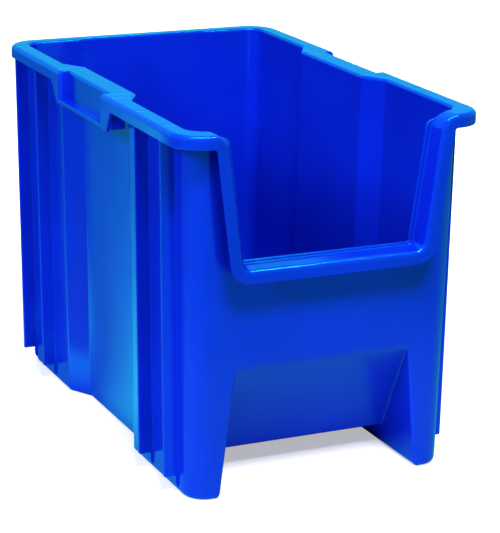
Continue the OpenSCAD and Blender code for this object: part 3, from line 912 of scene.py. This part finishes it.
# Painted shadow under the bin in the floor's glow: half width and half depth, each from full dark to clear
PAINTED_SHADOW_X, PAINTED_SHADOW_Y = (0.09, 0.122), (0.13, 0.21)
# By distance from the middle of the bin: glow of the floor as seen, and light that it throws up
FLOOR_GLOW, GLOW_REACH = (0.45, 1.0), (0.24, 0.68)
FLOOR_BOUNCE, BOUNCE_REACH = (0.95, 0.05), (0.4, 0.7)
# Lamps: name, place and (width, depth) in metres, power on the plastic, power in its mirror image
LAMPS = (
    ("top_box", (0.0, 0.3, 2.5), (2.0, 2.0), 1.0, 260.0),
    ("left_box", (-2.2, -0.6, 1.5), (0.8, 0.8), 64.0, 8.0),
    ("key_box", (-0.2, -1.55, 2.45), (0.8, 0.6), 104.0, 6.0),
    ("rear_box", (1.9, 1.6, 1.2), (1.2, 1.2), 34.0, 6.0),
    ("streak_box", (-0.05, -0.55, 2.4), (2.2, 0.3), 0.0, 130.0),
)
# Camera: place in metres, turn, downward tilt and roll in degrees, and lens length in picture heights
CAMERA_AT = (-0.7593, -1.7072, 0.6935)
CAMERA_TURN, CAMERA_DOWN, CAMERA_ROLL = -24.64, 16.56, 0.8
FOCAL_IN_HEIGHTS = 3.978


def ray_kind(nodes, links, kind, otherwise, then):
    """The shader then for rays of this kind, and otherwise for the rest."""
    pick = nodes.new("ShaderNodeMixShader")
    links.new(nodes.new("ShaderNodeLightPath").outputs[kind], pick.inputs["Fac"])
    links.new(otherwise, pick.inputs[1])
    links.new(then, pick.inputs[2])
    return pick.outputs[0]


def glow(nodes, kind, colour):
    node = nodes.new(kind)
    node.inputs["Color"].default_value = colour
    return node


def fade(nodes, links, value, levels, reach):
    """A level that goes from the first to the second of levels as value goes across reach, in metres."""
    share = nodes.new("ShaderNodeMapRange")
    share.inputs["From Min"].default_value, share.inputs["From Max"].default_value = reach
    share.inputs["To Min"].default_value, share.inputs["To Max"].default_value = levels
    links.new(value, share.inputs["Value"])
    return share.outputs["Result"]


def painted_floor_glow(nodes, links, place):
    """How bright the floor glows where the plastic mirrors it: a skewed strip of painted reflection behind,
    and painted shadow under the bin.
    """
    x, y = place.outputs["X"], place.outputs["Y"]
    across = math_node(nodes, links, "MULTIPLY_ADD", y, STRIP_SKEW, x)
    # Painted reflection: a bright strip in the floor's glow
    strip = math_node(nodes, links, "MULTIPLY", fade(nodes, links, across, (0, 1), STRIP_LEFT),
                      fade(nodes, links, across, (1, 0), STRIP_RIGHT))
    level = math_node(nodes, links, "MULTIPLY_ADD", strip, CARD_MIRRORED, -FLOOR_MIRRORED / 2)
    level = math_node(nodes, links, "MULTIPLY_ADD", level, fade(nodes, links, y, (0, 1), STRIP_FRONT),
                      FLOOR_MIRRORED)
    # Painted shadow: the floor's glow dims under the bin
    beside = fade(nodes, links, math_node(nodes, links, "ABSOLUTE", x), (0, 1), PAINTED_SHADOW_X)
    before = fade(nodes, links, math_node(nodes, links, "ABSOLUTE", y), (0, 1), PAINTED_SHADOW_Y)
    return math_node(nodes, links, "MULTIPLY", level, math_node(nodes, links, "MAXIMUM", beside, before))


def pale_floor():
    """White to the camera, a cool glowing card with a painted reflection strip and painted shadow to the
    gloss, and bright only near the bin to everything else.
    """
    material = bpy.data.materials.new("pale_floor")
    material.use_nodes = True
    nodes, links = material.node_tree.nodes, material.node_tree.links
    shader = nodes["Principled BSDF"]
    shader.inputs["Base Color"].default_value = (FLOOR_TONE, FLOOR_TONE, FLOOR_TONE, 1)
    shader.inputs["Roughness"].default_value = 0.9
    shader.inputs["Specular IOR Level"].default_value = 0.1
    coords = nodes.new("ShaderNodeTexCoord").outputs["Object"]
    place = nodes.new("ShaderNodeSeparateXYZ")
    links.new(coords, place.inputs["Vector"])
    away = nodes.new("ShaderNodeVectorMath")
    away.operation = "LENGTH"
    links.new(coords, away.inputs[0])
    # The floor's glow, seen only in the gloss: painted reflection strip and painted shadow
    card = glow(nodes, "ShaderNodeEmission", COOL)
    links.new(painted_floor_glow(nodes, links, place), card.inputs["Strength"])
    burn = glow(nodes, "ShaderNodeEmission", WHITE)
    links.new(fade(nodes, links, away.outputs["Value"], FLOOR_GLOW, GLOW_REACH), burn.inputs["Strength"])
    bright = nodes.new("ShaderNodeAddShader")
    links.new(shader.outputs[0], bright.inputs[0])
    links.new(burn.outputs[0], bright.inputs[1])
    bounce = nodes.new("ShaderNodeBsdfDiffuse")
    links.new(fade(nodes, links, away.outputs["Value"], FLOOR_BOUNCE, BOUNCE_REACH), bounce.inputs["Color"])
    seen = ray_kind(nodes, links, "Is Camera Ray", bounce.outputs[0], bright.outputs[0])
    mixed = ray_kind(nodes, links, "Is Glossy Ray", seen, card.outputs[0])
    links.new(mixed, nodes["Material Output"].inputs["Surface"])
    return material


def stage_floor():
    bm = bmesh.new()
    bmesh.ops.create_grid(bm, x_segments=1, y_segments=1, size=12.0)
    mesh = bpy.data.meshes.new("stage_floor")
    bm.to_mesh(mesh)
    bm.free()
    floor = bpy.data.objects.new("stage_floor", mesh)
    bpy.context.scene.collection.objects.link(floor)
    mesh.materials.append(pale_floor())


def soft_box(name, at, size, power, mirrored):
    """A large lamp turned to the bin: neutral on the plastic, cool where the gloss mirrors it."""
    toward = Vector((0, 0, HEIGHT / 2 * MM)) - Vector(at)
    for kind, energy, colour in (("fill", power, WHITE), ("gloss", mirrored, COOL)):
        light = bpy.data.lights.new(f"{name}_{kind}", "AREA")
        light.shape = "RECTANGLE"
        light.size, light.size_y = size
        light.energy = energy
        light.color = colour[:3]
        lamp = bpy.data.objects.new(light.name, light)
        lamp.location = at
        lamp.rotation_euler = toward.to_track_quat("-Z", "Y").to_euler()
        lamp.visible_camera = False
        lamp.visible_glossy = kind == "gloss"
        lamp.visible_diffuse = kind == "fill"
        bpy.context.scene.collection.objects.link(lamp)


def studio():
    world = bpy.data.worlds.new("studio")
    world.use_nodes = True
    nodes, links = world.node_tree.nodes, world.node_tree.links
    seen = nodes["Background"]
    seen.inputs["Color"].default_value = WHITE
    soft = glow(nodes, "ShaderNodeBackground", WHITE)
    soft.inputs["Strength"].default_value = DIFFUSE_LIGHT
    mirrored = glow(nodes, "ShaderNodeBackground", COOL)
    mirrored.inputs["Strength"].default_value = MIRRORED_LIGHT
    lit = ray_kind(nodes, links, "Is Glossy Ray", soft.outputs[0], mirrored.outputs[0])
    shown = ray_kind(nodes, links, "Is Camera Ray", lit, seen.outputs[0])
    links.new(shown, nodes["World Output"].inputs["Surface"])
    bpy.context.scene.world = world
    for lamp in LAMPS:
        soft_box(*lamp)
    bpy.context.scene.view_settings.view_transform = "Standard"


def camera():
    """At the photograph's viewing angle: a long lens, to the left of the front and above the rim."""
    lens = bpy.data.cameras.new("camera")
    lens.sensor_width = 36
    lens.lens = FOCAL_IN_HEIGHTS * lens.sensor_width
    lens.clip_end = 60
    eye = bpy.data.objects.new("camera", lens)
    turn = Matrix.Rotation(math.radians(CAMERA_TURN), 3, "Z")
    tilt = Matrix.Rotation(math.radians(90 - CAMERA_DOWN), 3, "X")
    roll = Matrix.Rotation(math.radians(CAMERA_ROLL), 3, "Z")
    eye.rotation_euler = (turn @ tilt @ roll).to_euler()
    eye.location = CAMERA_AT
    bpy.context.scene.collection.objects.link(eye)
    bpy.context.scene.camera = eye


stage_floor()
studio()
camera()
